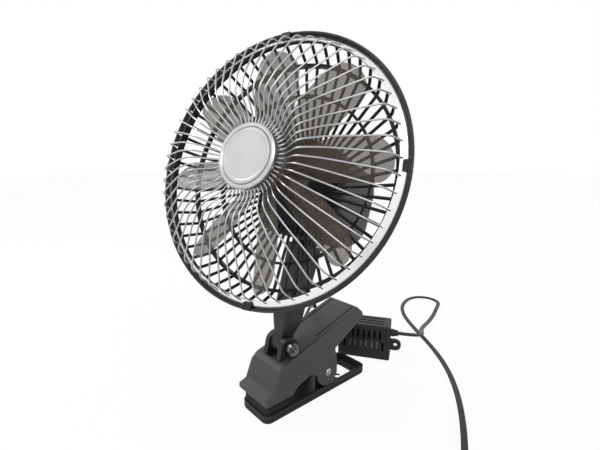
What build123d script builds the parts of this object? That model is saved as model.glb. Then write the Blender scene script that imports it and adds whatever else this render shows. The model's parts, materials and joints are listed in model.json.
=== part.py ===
from build123d import *
import os
from math import atan2, ceil, cos, dist, pi, radians, sin, sqrt, tan

os.makedirs("parts", exist_ok=True)

# Clamp, in millimetres: X is across the jaws, -Y is the front, Z is up
JAW_WIDTH = 40
JAW_LENGTH = 135
JAW_HEIGHT = 8.5
JAW_FLOOR = 2.6
UPPER_WIDTH = 44
WALL = 2.6
PIN_Y = 7
PIN_Z = 24.5
PIN_RADIUS = 2.6
PAD_TOP = 19.2
PAD_MEET = 13.5
PAD_FRONT = -66
PAD_BACK = -37
TOP_FRONT = (-49, 50)
TOP_BACK = (52, 80)

# Knuckle and neck
KNUCKLE_Y = -34.5
KNUCKLE_Z = 61
TILT_REST = 18.3
SWING_REST = 18.2
BRACKET_SEAT = -3
TONGUE_RADIUS = 7.5
TONGUE_HALF = 6.8
NECK_TOP = 96
SWIVEL_RADIUS = 6

# Head: z is along the fan's axis, with 0 at the rim
FAN_HEIGHT = 148
RIM_AHEAD = 80
RIM_RADIUS = 109.4
RIM_FRONT = 9.6
RIM_BACK = 2.2
HOOP_RADIUS = 107
HOOP_INSIDE = 101.2
HOOP_LOW = 5.4
HOOP_HIGH = 7.8
HOOP_THICK = 1.4
DOME_HEIGHT = 33.2
WIRES = 56
FRONT_WIRE = 0.62
REAR_WIRE = 1.3
HUB_RING = 22.8
CAP_RADIUS = 24.2
BLADES = 8
BLADE_TIP = 98
BLADE_PITCH = 33
BLADE_PHASE = 10.5
SHAFT_RADIUS = 3
MOTOR_FRONT = -43.1
MOTOR_SPLIT = -88
MOTOR_BACK = -130
MOTOR_HALF = 42
MOTOR_TOP = 38
MOTOR_BOTTOM = -48

# Inline box, set back on the floor
BOX_WIDTH = 61
BOX_DEPTH = 30
BOX_HEIGHT = 41
BOX_AT = (-9.9, 102.9)
BOX_TURN = 32.6
BOX_SEAM = 6
EYE_HOLE = 2.5

# Leads
HEAD_LEAD_RADIUS = 1.6
PLUG_LEAD_RADIUS = 2.3
LEAD_REST = 2.5
COIL_REST = 3.7
COIL_AT = (147, -58)
COIL_RADIUS = 36.4
COIL_STEP = 6.4
COIL_START = 16
COIL_END = -41
COIL_EXTRA_TURNS = 4
PLUG_AXIS = 10.7

# Frames of the knuckle, neck, head, jaw top and box
KNUCKLE = Vector(0, KNUCKLE_Y, KNUCKLE_Z)
NECK_UP = Vector(0, sin(radians(TILT_REST)), cos(radians(TILT_REST)))
NECK_FRONT = Vector(0, -cos(radians(TILT_REST)), sin(radians(TILT_REST)))
FAN_FRONT = NECK_FRONT * cos(radians(SWING_REST)) + Vector(1, 0, 0) * sin(radians(SWING_REST))
NECK = Plane(KNUCKLE, x_dir=(1, 0, 0), z_dir=NECK_UP)
HEAD = Plane(
    KNUCKLE + NECK_UP * FAN_HEIGHT + FAN_FRONT * RIM_AHEAD,
    x_dir=NECK_UP.cross(FAN_FRONT),
    z_dir=FAN_FRONT,
)
TOP_SLOPE = atan2(TOP_BACK[1] - TOP_FRONT[1], TOP_BACK[0] - TOP_FRONT[0])
TOP_UP = Vector(0, -sin(TOP_SLOPE), cos(TOP_SLOPE))
TOP = Plane(
    (0, KNUCKLE_Y, TOP_FRONT[1] + (KNUCKLE_Y - TOP_FRONT[0]) * tan(TOP_SLOPE)),
    x_dir=(1, 0, 0),
    z_dir=TOP_UP,
)
BOX = Plane(
    (BOX_AT[0], BOX_AT[1], 0),
    x_dir=(cos(radians(BOX_TURN)), sin(radians(BOX_TURN)), 0),
    z_dir=(0, 0, 1),
)


def side_of(frame):
    """The plane of a frame's x and z, where a turned outline is drawn."""
    return Plane(frame.origin, x_dir=frame.x_dir, z_dir=frame.y_dir * -1)


def shifted(frame, x, y, z):
    """A frame of the same turn, moved along its own axes."""
    return Plane(frame.from_local_coords(Vector(x, y, z)), x_dir=frame.x_dir, z_dir=frame.z_dir)


def upright(frame, x, y, z):
    """A frame moved along its own axes, whose z is the first frame's y."""
    return Plane(frame.from_local_coords(Vector(x, y, z)), x_dir=frame.x_dir, z_dir=frame.y_dir)


def turned(frame, outline):
    """A solid of revolution about a frame's z, from (radius, z) points."""
    with BuildPart() as piece:
        with BuildSketch(side_of(frame)):
            with BuildLine():
                Polyline(*outline, close=True)
            make_face()
        revolve(axis=Axis(frame.origin, frame.z_dir))
    return piece


def ring(frame, inner, outer, low, high):
    """A plain ring, or a disc where the inner radius is 0."""
    return turned(frame, [(inner, low), (outer, low), (outer, high), (inner, high)])


def screw(frame, shank, head, length, head_height):
    """A pan-head screw whose shank runs down a frame's -z from its head."""
    bevel = head * 0.25
    outline = [
        (0, -length),
        (shank, -length),
        (shank, 0),
        (head, 0),
        (head, head_height - bevel),
        (head - bevel, head_height),
        (0, head_height),
    ]
    return turned(frame, outline)


def save(name, piece):
    """Label a piece and write it."""
    piece.part.label = name
    export_step(piece.part, f"parts/{name}.step")


def biarcs(points, tangents):
    """Join points by pairs of arcs that keep the tangent at every point."""
    for start, end, leaving, arriving in zip(points, points[1:], tangents, tangents[1:]):
        chord = end - start
        bend = 2 - 2 * leaving.dot(arriving)
        along = 2 * chord.dot(leaving + arriving)
        reach = chord.dot(chord) / along
        if bend > 1e-9:
            reach = (sqrt(along * along + 4 * bend * chord.dot(chord)) - along) / (2 * bend)
        first = start + leaving * reach
        second = end - arriving * reach
        joint = (first + second) * 0.5
        TangentArc(start, joint, tangent=leaving)
        TangentArc(joint, end, tangent=second - first)


def slopes(curve, values, step=0.001):
    """Unit tangents of a curve at the given values of its parameter."""
    return [(curve(v + step) - curve(v - step)).normalized() for v in values]


def corner_radii(points):
    """The largest tidy arc at each inner point of a lead's route."""
    radii = []
    for before, here, after in zip(points, points[1:], points[2:]):
        arriving = Vector(*here) - Vector(*before)
        leaving = Vector(*after) - Vector(*here)
        turn = radians(arriving.get_angle(leaving))
        radii.append(0.45 * min(arriving.length, leaving.length) / tan(turn / 2))
    return radii


def lead(name, points, radius):
    """A round lead along straight runs and tangent arcs."""
    radii = corner_radii(points)
    with BuildPart() as tube:
        with BuildLine() as route:
            FilletPolyline(*points, radius=radii)
        with BuildSketch(Plane(route.wire() @ 0, z_dir=route.wire() % 0)):
            Circle(radius)
        sweep()
    length = route.wire().length
    print(name, "length", round(length, 1), "least radius", round(min(radii), 1))
    print(name, "volume over section times length", round(tube.part.volume / (pi * radius**2 * length), 4))
    return tube


def least_gap(points, radius, skip):
    """The least gap between stretches of a wound tube that aren't neighbours."""
    nearest = min(
        dist(a, b) for i, a in enumerate(points) for b in points[i + skip:]
    )
    return nearest - 2 * radius


# Lower jaw: a tray with two lugs for the pin and a window in its tail
POCKET_FRONT = -32
POCKET_BACK = JAW_LENGTH / 2 - WALL
LUG_AT = 12
LUG_THICK = 3
LUG_RADIUS = 6.5
with BuildPart() as lower_jaw:
    with BuildSketch():
        RectangleRounded(JAW_WIDTH, JAW_LENGTH, 7)
    extrude(amount=JAW_HEIGHT)
    fillet(lower_jaw.edges().group_by(Axis.Z)[0], 1.2)
    with BuildSketch(Plane.XY.offset(JAW_FLOOR)):
        with Locations((0, (POCKET_FRONT + POCKET_BACK) / 2)):
            RectangleRounded(JAW_WIDTH - 2 * WALL, POCKET_BACK - POCKET_FRONT, 4)
    extrude(amount=JAW_HEIGHT, mode=Mode.SUBTRACT)
    with BuildSketch():
        with Locations((0, 44)):
            RectangleRounded(22, 24, 3)
    extrude(amount=JAW_FLOOR, mode=Mode.SUBTRACT)
    for middle in (-LUG_AT, LUG_AT):
        with BuildSketch(Plane.YZ.offset(middle - LUG_THICK / 2)):
            with Locations((PIN_Y, (PIN_Z + 1) / 2)):
                Rectangle(2 * LUG_RADIUS, PIN_Z - 1)
            with Locations((PIN_Y, PIN_Z)):
                Circle(LUG_RADIUS)
                Circle(PIN_RADIUS + 0.06, mode=Mode.SUBTRACT)
        extrude(amount=LUG_THICK)
save("lower_jaw", lower_jaw)

# Upper jaw: a shell open below, with a nose, two ears and a handle
EAR_RADIUS = 13.6
HANDLE_LOW = (17, 46.5)
with BuildPart() as upper_jaw:
    with BuildSketch(Plane.YZ):
        with BuildLine():
            Polyline(
                (PIN_Y + EAR_RADIUS * cos(radians(-20)), PIN_Z + EAR_RADIUS * sin(radians(-20))),
                (HANDLE_LOW[0] + 3, 30),
                HANDLE_LOW,
                (53, 65.3),
                (58.5, 69.5),
                (58.5, 74.5),
                TOP_BACK,
                TOP_FRONT,
                (-52.5, 47),
                (-60, 28.5),
                (-68.5, 25.5),
                (-68.5, PAD_TOP),
                (-38, PAD_TOP),
                (-34, 24.5),
                (-16, 30.5),
                (PIN_Y + EAR_RADIUS * cos(radians(175)), PIN_Z + EAR_RADIUS * sin(radians(175))),
            )
            ThreePointArc(
                (PIN_Y + EAR_RADIUS * cos(radians(175)), PIN_Z + EAR_RADIUS * sin(radians(175))),
                (PIN_Y, PIN_Z - EAR_RADIUS),
                (PIN_Y + EAR_RADIUS * cos(radians(-20)), PIN_Z + EAR_RADIUS * sin(radians(-20))),
            )
        make_face()
    extrude(amount=UPPER_WIDTH / 2, both=True)
    top_faces = upper_jaw.faces().filter_by(lambda f: f.normal_at().Z > 0.5)
    rims = top_faces.edges().group_by(Axis.X)
    fillet(rims[0] + rims[-1], 3)
    with BuildSketch(Plane.YZ):
        with BuildLine():
            Polyline(
                (-55.5, PAD_TOP + WALL),
                (-49.8, 44.5),
                (TOP_FRONT[0] + 1.5, TOP_FRONT[1] - 2.5),
                (TOP_BACK[0] - 0.6, TOP_BACK[1] - 3),
                (55.6, 73.2),
                (55.6, 0),
                (-35.5, 0),
                (-35.5, PAD_TOP + WALL),
                close=True,
            )
        make_face()
    extrude(amount=UPPER_WIDTH / 2 - WALL, both=True, mode=Mode.SUBTRACT)
    with BuildSketch(TOP):
        Rectangle(25.2, 25.2)
        with Locations((17, 2)):
            SlotOverall(11, 2.2, rotation=90)
    extrude(amount=-6, both=True, mode=Mode.SUBTRACT)
    with BuildSketch(shifted(TOP, 0, 60, 0)):
        with Locations((-15, 0), (15, 0)):
            Rectangle(1.6, 56)
    extrude(amount=-0.9, mode=Mode.SUBTRACT)
    with BuildSketch(Plane.YZ):
        with Locations((23.5, 59)):
            Rectangle(3, 22)
    extrude(amount=10, both=True)
    with BuildSketch(Plane.YZ):
        with Locations((PIN_Y, PIN_Z)):
            Circle(PIN_RADIUS + 0.03)
    extrude(amount=UPPER_WIDTH, both=True, mode=Mode.SUBTRACT)
    with BuildSketch(shifted(TOP, 0, 0, BRACKET_SEAT)):
        with Locations((-15, -8), (15, -8)):
            Circle(1.5)
    extrude(amount=2.3, mode=Mode.SUBTRACT)
save("upper_jaw", upper_jaw)


def pad(seat, meet):
    """A rubber pad with grooves across its gripping face."""
    with BuildPart() as piece:
        with BuildSketch(Plane.XY.offset(seat)):
            with Locations((0, (PAD_FRONT + PAD_BACK) / 2)):
                RectangleRounded(36, PAD_BACK - PAD_FRONT, 4)
        extrude(amount=meet - seat)
        with BuildSketch(Plane.XY.offset(meet)):
            with Locations((0, (PAD_FRONT + PAD_BACK) / 2)):
                with GridLocations(0, 5, 1, 5):
                    Rectangle(36, 1.4)
        extrude(amount=(seat - meet) * 0.25, mode=Mode.SUBTRACT)
    return piece


lower_pad = pad(JAW_HEIGHT, PAD_MEET - 0.15)
save("lower_pad", lower_pad)
upper_pad = pad(PAD_TOP, PAD_MEET + 0.15)
save("upper_pad", upper_pad)

# Pivot pin, a rivet with a domed head at each end
PIN_LINE = Plane((0, PIN_Y, PIN_Z), x_dir=(0, 1, 0), z_dir=(1, 0, 0))
HALF = UPPER_WIDTH / 2
pivot_pin = turned(
    PIN_LINE,
    [
        (0, -HALF - 1.8),
        (2.6, -HALF - 1.8),
        (4, -HALF - 0.8),
        (4, -HALF),
        (PIN_RADIUS, -HALF),
        (PIN_RADIUS, HALF),
        (4, HALF),
        (4, HALF + 0.8),
        (2.6, HALF + 1.8),
        (0, HALF + 1.8),
    ],
)
save("pivot_pin", pivot_pin)

# Jaw spring: a torsion coil round the pin with a leg to each jaw
SPRING_WIRE = 0.9
SPRING_RADIUS = 5.6
SPRING_HALF = 7.6
LOWER_LEG = -25
UPPER_LEG = 40
LOWER_LEG_LENGTH = 34
UPPER_LEG_LENGTH = 26
SPRING_TURNS = 4
SPRING_SWEEP = 180 - (UPPER_LEG - LOWER_LEG) + 360 * SPRING_TURNS


def spring_line(degrees_round):
    """The coil's centre line, clockwise from the lower leg."""
    angle = radians(LOWER_LEG - 90 - degrees_round)
    across = SPRING_HALF - 2 * SPRING_HALF * degrees_round / SPRING_SWEEP
    return Vector(across, PIN_Y + SPRING_RADIUS * cos(angle), PIN_Z + SPRING_RADIUS * sin(angle))


spring_steps = ceil(SPRING_SWEEP / 90)
spring_stops = [SPRING_SWEEP * i / spring_steps for i in range(spring_steps + 1)]
spring_points = [spring_line(stop) for stop in spring_stops]
spring_slopes = slopes(spring_line, spring_stops)
with BuildPart() as jaw_spring:
    with BuildLine() as spring_route:
        Line(spring_points[0] - spring_slopes[0] * LOWER_LEG_LENGTH, spring_points[0])
        biarcs(spring_points, spring_slopes)
        Line(spring_points[-1], spring_points[-1] + spring_slopes[-1] * UPPER_LEG_LENGTH)
    with BuildSketch(Plane(spring_route.wire() @ 0, z_dir=spring_route.wire() % 0)):
        Circle(SPRING_WIRE)
    sweep()
spring_samples = [tuple(spring_line(SPRING_SWEEP * i / 400)) for i in range(401)]
print("jaw spring gap to itself", round(least_gap(spring_samples, SPRING_WIRE, 60), 2))
save("jaw_spring", jaw_spring)

# Knuckle bracket: a flange under the jaw's top and two ears above it
EAR_GAP = 7.2
BRACKET_HALF = 12.4
BRACKET_EAR = 9.5
BOLT_RADIUS = 2.5
KNUCKLE_IN_TOP = TOP.to_local_coords(KNUCKLE)
with BuildPart() as knuckle_bracket:
    with BuildSketch(shifted(TOP, 0, 1.5, BRACKET_SEAT)):
        Rectangle(36, 27)
    extrude(amount=-3)
    with BuildSketch(shifted(TOP, 0, 0, BRACKET_SEAT)):
        Rectangle(2 * BRACKET_HALF, 2 * BRACKET_HALF - 0.8)
    extrude(amount=1.2)
    for inner, outer in ((-BRACKET_HALF, -EAR_GAP), (EAR_GAP, BRACKET_HALF)):
        ear_plane = Plane(TOP.origin, x_dir=TOP.y_dir, z_dir=(1, 0, 0)).offset(inner)
        with BuildSketch(ear_plane):
            with BuildLine():
                Polyline(
                    (-BRACKET_HALF, BRACKET_SEAT),
                    (BRACKET_HALF, BRACKET_SEAT),
                    (BRACKET_HALF, 0.6),
                    (KNUCKLE_IN_TOP.Y + BRACKET_EAR * 0.86, KNUCKLE_IN_TOP.Z + BRACKET_EAR * 0.5),
                    (KNUCKLE_IN_TOP.Y - BRACKET_EAR * 0.86, KNUCKLE_IN_TOP.Z + BRACKET_EAR * 0.5),
                    (-BRACKET_HALF, 0.6),
                    close=True,
                )
            make_face()
            with Locations((KNUCKLE_IN_TOP.Y, KNUCKLE_IN_TOP.Z)):
                Circle(BRACKET_EAR)
                Circle(BOLT_RADIUS + 0.05, mode=Mode.SUBTRACT)
        extrude(amount=outer - inner)
    with BuildSketch(shifted(TOP, 0, 0, BRACKET_SEAT)):
        with Locations((-15, -8), (15, -8)):
            Circle(1.55)
    extrude(amount=-3, mode=Mode.SUBTRACT)
save("knuckle_bracket", knuckle_bracket)

for side, across in (("left", -15), ("right", 15)):
    place = shifted(TOP, across, -8, BRACKET_SEAT - 3)
    bracket_screw = screw(Plane(place.origin, x_dir=place.x_dir, z_dir=place.z_dir * -1), 1.45, 2.7, 4.9, 1.8)
    save(f"bracket_screw_{side}", bracket_screw)

# Knuckle bolt with a hexagonal head, and the thumb nut on its other end
BOLT_LINE = Plane(KNUCKLE, x_dir=(0, 1, 0), z_dir=(1, 0, 0))
BOLT_END = 23
with BuildPart() as knuckle_bolt:
    with BuildSketch(BOLT_LINE.offset(-BRACKET_HALF - 3.6)):
        RegularPolygon(4.6, 6)
    extrude(amount=3.5)
    with BuildSketch(BOLT_LINE.offset(-BRACKET_HALF - 0.2)):
        Circle(BOLT_RADIUS)
    extrude(amount=BRACKET_HALF + BOLT_END)
save("knuckle_bolt", knuckle_bolt)

with BuildPart() as thumb_nut:
    with BuildSketch(BOLT_LINE.offset(BRACKET_HALF + 0.3)):
        RegularPolygon(5.9, 16)
    extrude(amount=6.5)
    with BuildSketch(BOLT_LINE.offset(BRACKET_HALF + 6.8)):
        Circle(4.4)
    extrude(amount=1.6)
    with BuildSketch(BOLT_LINE.offset(BRACKET_HALF)):
        Circle(BOLT_RADIUS + 0.05)
    extrude(amount=14, mode=Mode.SUBTRACT)
save("thumb_nut", thumb_nut)

# Neck post: a tongue at the knuckle that widens into a tapered post
GLAND_HEIGHT = 55
with BuildPart() as neck_post:
    with BuildSketch(BOLT_LINE.offset(-TONGUE_HALF)):
        Circle(TONGUE_RADIUS)
    extrude(amount=2 * TONGUE_HALF)
    with BuildSketch(NECK):
        Rectangle(2 * TONGUE_HALF, 2 * TONGUE_RADIUS)
    extrude(amount=10)
    with BuildSketch(NECK.offset(9.8)):
        RectangleRounded(2 * TONGUE_HALF, 2 * TONGUE_RADIUS, 2)
    with BuildSketch(NECK.offset(24)):
        RectangleRounded(23, 21, 4)
    loft()
    with BuildSketch(NECK.offset(23.9)):
        RectangleRounded(23, 21, 4)
    with BuildSketch(NECK.offset(NECK_TOP)):
        RectangleRounded(27, 25, 5)
    loft()
    with BuildSketch(NECK.offset(NECK_TOP)):
        Circle(SWIVEL_RADIUS + 0.03)
    extrude(amount=-20, mode=Mode.SUBTRACT)
    with BuildSketch(BOLT_LINE.offset(-20)):
        Circle(BOLT_RADIUS + 0.05)
    extrude(amount=40, mode=Mode.SUBTRACT)
save("neck_post", neck_post)

swivel_pin = ring(NECK, 0, SWIVEL_RADIUS, NECK_TOP - 19.8, FAN_HEIGHT + MOTOR_BOTTOM + 15)
save("swivel_pin", swivel_pin)
swivel_washer = ring(NECK, SWIVEL_RADIUS + 0.05, 11.5, NECK_TOP, FAN_HEIGHT + MOTOR_BOTTOM - 0.3)
save("swivel_washer", swivel_washer)
BUSH_TOP = FAN_HEIGHT + MOTOR_BOTTOM + 10
swivel_clip = ring(NECK, SWIVEL_RADIUS + 0.02, 7.8, BUSH_TOP + 0.4, BUSH_TOP + 2)
save("swivel_clip", swivel_clip)

# Gland on the back of the neck, pointing back and down
GLAND_DOWN = 37
GLAND_OUT = NECK.y_dir * cos(radians(GLAND_DOWN)) - NECK_UP * sin(radians(GLAND_DOWN))
GLAND = Plane(
    NECK.from_local_coords(Vector(0, 8, GLAND_HEIGHT + 3)),
    x_dir=(1, 0, 0),
    z_dir=GLAND_OUT,
)
GLAND_LENGTH = 24
with BuildPart() as neck_gland:
    with BuildSketch(GLAND):
        Circle(4.6)
    with BuildSketch(GLAND.offset(GLAND_LENGTH)):
        Circle(HEAD_LEAD_RADIUS + 0.8)
    loft()
    add(neck_post.part, mode=Mode.SUBTRACT)
save("neck_gland", neck_gland)

# Motor shells, a rounded box split across the shaft
MOTOR_MIDDLE = (MOTOR_TOP + MOTOR_BOTTOM) / 2
MOTOR_TALL = MOTOR_TOP - MOTOR_BOTTOM
SHELL = 2.4
SCREW_CIRCLE = 31
with BuildPart() as motor_front_shell:
    with BuildSketch(HEAD.offset(MOTOR_SPLIT)):
        with Locations((0, MOTOR_MIDDLE)):
            RectangleRounded(2 * MOTOR_HALF, MOTOR_TALL, 28)
    extrude(amount=MOTOR_FRONT - MOTOR_SPLIT)
    front_face = motor_front_shell.faces().sort_by(Axis(HEAD.origin, HEAD.z_dir))[-1]
    fillet(front_face.edges(), 6)
    with BuildSketch(HEAD.offset(MOTOR_SPLIT)):
        with Locations((0, MOTOR_MIDDLE)):
            RectangleRounded(2 * (MOTOR_HALF - SHELL), MOTOR_TALL - 2 * SHELL, 28 - SHELL)
    extrude(amount=MOTOR_FRONT - MOTOR_SPLIT - 4, mode=Mode.SUBTRACT)
    with BuildSketch(HEAD.offset(MOTOR_FRONT)):
        Circle(9.1)
        with PolarLocations(SCREW_CIRCLE, 3, start_angle=90):
            Circle(1.55)
    extrude(amount=-4, mode=Mode.SUBTRACT)
    with BuildSketch(upright(HEAD, 0, MOTOR_BOTTOM, -RIM_AHEAD)):
        Circle(SWIVEL_RADIUS + 0.3)
    extrude(amount=SHELL, mode=Mode.SUBTRACT)
save("motor_front_shell", motor_front_shell)

KNOB_AT = -108
with BuildPart() as motor_rear_shell:
    with BuildSketch(HEAD.offset(MOTOR_BACK)):
        with Locations((0, MOTOR_MIDDLE)):
            RectangleRounded(2 * MOTOR_HALF, MOTOR_TALL, 28)
    extrude(amount=MOTOR_SPLIT - MOTOR_BACK - 0.2)
    back_face = motor_rear_shell.faces().sort_by(Axis(HEAD.origin, HEAD.z_dir))[0]
    fillet(back_face.edges(), 14)
    with BuildSketch(HEAD.offset(MOTOR_SPLIT)):
        with Locations((0, MOTOR_MIDDLE)):
            RectangleRounded(2 * (MOTOR_HALF - 4), MOTOR_TALL - 8, 24)
    extrude(amount=MOTOR_BACK - MOTOR_SPLIT + 12, mode=Mode.SUBTRACT)
    with BuildSketch(HEAD.offset(MOTOR_SPLIT)):
        with Locations((0, MOTOR_MIDDLE)):
            RectangleRounded(2 * MOTOR_HALF - 32, MOTOR_TALL - 32, 10)
    extrude(amount=MOTOR_BACK - MOTOR_SPLIT + 4, mode=Mode.SUBTRACT)
    with BuildSketch(HEAD.offset(MOTOR_BACK)):
        with Locations((0, 4)):
            with GridLocations(7, 0, 5, 1):
                SlotOverall(30, 3, rotation=90)
    extrude(amount=6, mode=Mode.SUBTRACT)
    with BuildSketch(upright(HEAD, 0, MOTOR_TOP - 6, KNOB_AT)):
        Circle(3.3)
    extrude(amount=10, mode=Mode.SUBTRACT)
save("motor_rear_shell", motor_rear_shell)

# Motor can with a bush at each end, turned as one profile
CAN_RADIUS = 22
CAN_BACK = -96
CAN_SEAT = MOTOR_FRONT - 4
BUSH_RADIUS = 6
motor_can = turned(
    HEAD,
    [
        (BUSH_RADIUS + 0.03, MOTOR_FRONT),
        (9, MOTOR_FRONT),
        (9, CAN_SEAT),
        (CAN_RADIUS, CAN_SEAT),
        (CAN_RADIUS, CAN_BACK),
        (BUSH_RADIUS + 0.03, CAN_BACK),
        (BUSH_RADIUS + 0.03, CAN_BACK + 8),
        (4, CAN_BACK + 8),
        (4, MOTOR_FRONT - 8),
        (BUSH_RADIUS + 0.03, MOTOR_FRONT - 8),
    ],
)
save("motor_can", motor_can)
front_bush = ring(HEAD, SHAFT_RADIUS + 0.05, BUSH_RADIUS, MOTOR_FRONT - 8, MOTOR_FRONT)
save("front_bush", front_bush)
rear_bush = ring(HEAD, SHAFT_RADIUS + 0.05, BUSH_RADIUS, CAN_BACK, CAN_BACK + 8)
save("rear_bush", rear_bush)
swivel_bush = ring(NECK, SWIVEL_RADIUS + 0.06, 7.8, FAN_HEIGHT + MOTOR_BOTTOM + SHELL, BUSH_TOP)
save("swivel_bush", swivel_bush)

# Gearbox case behind the motor, the crank below it and the pull knob above
CASE_BACK = -124
CRANK_AT = -110
with BuildPart() as gearbox_case:
    with BuildSketch(HEAD.offset(CAN_BACK - 0.1)):
        RectangleRounded(34, 44, 4)
    extrude(amount=CASE_BACK - CAN_BACK)
    with BuildSketch(HEAD.offset(CAN_BACK)):
        Circle(SHAFT_RADIUS + 0.3)
    extrude(amount=-16, mode=Mode.SUBTRACT)
    with BuildSketch(upright(HEAD, 0, -22, CRANK_AT)):
        Circle(3.05)
    extrude(amount=9, mode=Mode.SUBTRACT)
    with BuildSketch(upright(HEAD, 0, 22, KNOB_AT)):
        Circle(3.3)
    extrude(amount=-10, mode=Mode.SUBTRACT)
save("gearbox_case", gearbox_case)

with BuildPart() as crank_disc:
    with BuildSketch(upright(HEAD, 0, -27, CRANK_AT)):
        Circle(9)
    extrude(amount=4)
    with BuildSketch(upright(HEAD, 0, -27, CRANK_AT)):
        Circle(3)
    extrude(amount=13)
    with BuildSketch(upright(HEAD, 6, -27, CRANK_AT)):
        Circle(2)
    extrude(amount=-7)
save("crank_disc", crank_disc)

with BuildPart() as pull_knob:
    with BuildSketch(upright(HEAD, 0, 14, KNOB_AT)):
        Circle(3)
    extrude(amount=MOTOR_TOP - 10)
    with BuildSketch(upright(HEAD, 0, MOTOR_TOP + 0.6, KNOB_AT)):
        Circle(5.5)
    extrude(amount=4)
    with BuildSketch(upright(HEAD, 0, MOTOR_TOP + 4.6, KNOB_AT)):
        Circle(7)
    extrude(amount=6)
    knob_top = pull_knob.faces().sort_by(Axis(HEAD.origin, HEAD.y_dir))[-1]
    fillet(knob_top.edges(), 2)
save("pull_knob", pull_knob)

# Rear guard: straight bars bent once, on four rings and a centre plate
PLATE_BACK = MOTOR_FRONT + 0.1
PLATE_FRONT = PLATE_BACK + 3.4
REAR_LEAN = radians(-3)
BAR_END = 34
BAR_END_Z = (PLATE_BACK + PLATE_FRONT) / 2
BAR_START = (105.3, RIM_BACK - 1.2)
BAR_CORNER = (95.5, -17.5)
MIDDLE_RING = 72
BAR_SLOPE = (BAR_CORNER[1] - BAR_END_Z) / (BAR_CORNER[0] - BAR_END)
MIDDLE_Z = BAR_CORNER[1] + BAR_SLOPE * (MIDDLE_RING - BAR_CORNER[0])
RING_HALF = 2
with BuildPart() as rear_bar:
    with BuildLine() as bar_route:
        FilletPolyline(
            (BAR_START[0], 0, BAR_START[1]),
            (BAR_CORNER[0], 0, BAR_CORNER[1]),
            (BAR_END * cos(REAR_LEAN), BAR_END * sin(REAR_LEAN), BAR_END_Z),
            radius=9,
        )
    with BuildSketch(Plane(bar_route.wire() @ 0, z_dir=bar_route.wire() % 0)):
        Circle(REAR_WIRE)
    sweep()

with BuildPart(HEAD) as rear_guard:
    with BuildSketch(side_of(HEAD)):
        with Locations(BAR_START):
            Rectangle(3.4, 2)
        with Locations((BAR_CORNER[0] - 1.7, BAR_CORNER[1] + 1)):
            Rectangle(2.6, 2 * RING_HALF)
        with Locations((MIDDLE_RING, MIDDLE_Z)):
            Rectangle(2.2, 2 * RING_HALF)
        with Locations((30, BAR_END_Z)):
            Rectangle(18, PLATE_FRONT - PLATE_BACK)
    revolve(axis=Axis(HEAD.origin, HEAD.z_dir))
    with PolarLocations(0, WIRES, start_angle=180 / WIRES):
        add(rear_bar.part)
    with BuildSketch(HEAD.offset(PLATE_FRONT)):
        with PolarLocations(SCREW_CIRCLE, 3, start_angle=90):
            Circle(1.6)
    extrude(amount=PLATE_BACK - PLATE_FRONT, mode=Mode.SUBTRACT)
save("rear_guard", rear_guard)

for number in range(3):
    around = radians(90 + 120 * number)
    place = shifted(HEAD, SCREW_CIRCLE * cos(around), SCREW_CIRCLE * sin(around), PLATE_FRONT)
    guard_screw = screw(place, 1.5, 3, 7, 2)
    save(f"guard_screw_{number + 1}", guard_screw)

# Guard rim: a band with a sloping back flange, a mid-line bead and four front tabs
TABS = 4
TAB_WIDTH = 7.5
TAB_REACH = 3.4
TAB_TURN = 7
TAB_THICK = 1.5
BEAD_AT = 6
with BuildPart(HEAD) as guard_rim:
    with BuildSketch(side_of(HEAD)):
        with BuildLine():
            Polyline(
                (HOOP_INSIDE + 0.2, HOOP_HIGH - 2.8),
                (HOOP_INSIDE + 2.6, RIM_BACK),
                (RIM_RADIUS - 2, RIM_BACK),
                (RIM_RADIUS - 0.6, RIM_BACK + 1.2),
                (RIM_RADIUS - 0.6, BEAD_AT - 0.9),
                (RIM_RADIUS, BEAD_AT - 0.5),
                (RIM_RADIUS, BEAD_AT + 0.5),
                (RIM_RADIUS - 0.6, BEAD_AT + 0.9),
                (RIM_RADIUS - 0.6, RIM_FRONT - 1.2),
                (RIM_RADIUS - 1.4, RIM_FRONT),
                (HOOP_RADIUS + 0.2, RIM_FRONT),
                (HOOP_RADIUS + 0.2, HOOP_LOW - 0.35),
                (HOOP_INSIDE + 0.2, HOOP_HIGH - 0.35),
                close=True,
            )
        make_face()
    revolve(axis=Axis(HEAD.origin, HEAD.z_dir))
    with BuildSketch(HEAD.offset(RIM_FRONT - 0.1 - TAB_THICK)):
        with PolarLocations(HOOP_RADIUS - TAB_REACH / 2 + 1, TABS, start_angle=TAB_TURN):
            Rectangle(TAB_REACH + 2, TAB_WIDTH)
    extrude(amount=TAB_THICK)
save("guard_rim", guard_rim)

# Front guard: wires from a dished hub ring over a ridge, then down into the sloping bright hoop
with BuildPart() as front_wire:
    with BuildLine() as wire_route:
        FilletPolyline(
            (21.6, 0, DOME_HEIGHT),
            (30.6, 0, DOME_HEIGHT),
            (45.5, 0, DOME_HEIGHT + 10.4),
            (62.5, 0, DOME_HEIGHT + 6),
            (98, 0, 21.5),
            (HOOP_INSIDE + 1.7, 0, HOOP_HIGH - 0.4),
            radius=[10, 12, 35, 12],
        )
    with BuildSketch(Plane(wire_route.wire() @ 0, z_dir=wire_route.wire() % 0)):
        Circle(FRONT_WIRE)
    sweep()

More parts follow.
